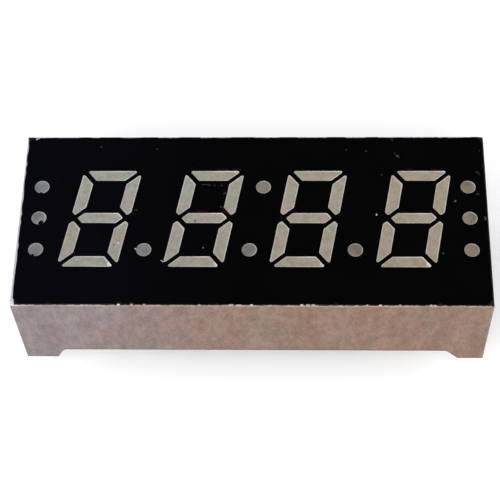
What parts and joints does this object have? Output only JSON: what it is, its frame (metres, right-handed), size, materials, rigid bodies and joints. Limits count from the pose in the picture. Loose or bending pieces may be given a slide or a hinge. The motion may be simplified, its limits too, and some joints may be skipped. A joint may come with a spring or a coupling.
{
  "type": "seven segment display module",
  "caption": "Four digit seven segment display block with a clock colon, decimal points and side dots, and two rows of solder pins.",
  "frame": {"origin": "centre of the seating plane, the plane of the four feet, midway between the two rows of pins", "axes": "+Z towards the viewer out of the printed face, +X right along the row of digits, +Y to the top of the digits; the pins point to -Z"},
  "size_m": [0.03, 0.0126, 0.0105],
  "materials": {
    "white_plastic": "moulded, satin, aged to a pinkish grey",
    "black_ink": "screen printed, matt, rough at its edges",
    "milky_epoxy": "cast, milky, satin",
    "board_laminate": "glass laminate with green resist",
    "plated_copper": "gold plated",
    "solder": "bright solder",
    "gold_wire": "bright drawn wire",
    "chip_crystal": "polished crystal",
    "tinned_wire": "hot tinned, satin"
  },
  "bodies": {
    "root": {"housing": "white_plastic", "face_ink": "black_ink", "epoxy_casting": "milky_epoxy", "circuit_board": "board_laminate", "chip_pads": "plated_copper", "pin_rings": "plated_copper", "solder_joints": "solder", "bond_wires": "gold_wire", "led_1a": "chip_crystal", "led_1b": "chip_crystal", "led_1c": "chip_crystal", "led_1d": "chip_crystal", "led_1e": "chip_crystal", "led_1f": "chip_crystal", "led_1g": "chip_crystal", "led_2a": "chip_crystal", "led_2b": "chip_crystal", "led_2c": "chip_crystal", "led_2d": "chip_crystal", "led_2e": "chip_crystal", "led_2f": "chip_crystal", "led_2g": "chip_crystal", "led_3a": "chip_crystal", "led_3b": "chip_crystal", "led_3c": "chip_crystal", "led_3d": "chip_crystal", "led_3e": "chip_crystal", "led_3f": "chip_crystal", "led_3g": "chip_crystal", "led_4a": "chip_crystal", "led_4b": "chip_crystal", "led_4c": "chip_crystal", "led_4d": "chip_crystal", "led_4e": "chip_crystal", "led_4f": "chip_crystal", "led_4g": "chip_crystal", "led_left_1": "chip_crystal", "led_left_2": "chip_crystal", "led_left_3": "chip_crystal", "led_point_1": "chip_crystal", "led_colon_1": "chip_crystal", "led_colon_2": "chip_crystal", "led_point_3": "chip_crystal", "led_right_1": "chip_crystal", "led_right_2": "chip_crystal", "led_right_3": "chip_crystal", "pin_1": "tinned_wire", "pin_2": "tinned_wire", "pin_3": "tinned_wire", "pin_4": "tinned_wire", "pin_5": "tinned_wire", "pin_6": "tinned_wire", "pin_7": "tinned_wire", "pin_8": "tinned_wire", "pin_9": "tinned_wire", "pin_10": "tinned_wire", "pin_11": "tinned_wire", "pin_12": "tinned_wire", "pin_13": "tinned_wire", "pin_14": "tinned_wire"}
  },
  "joints": []
}
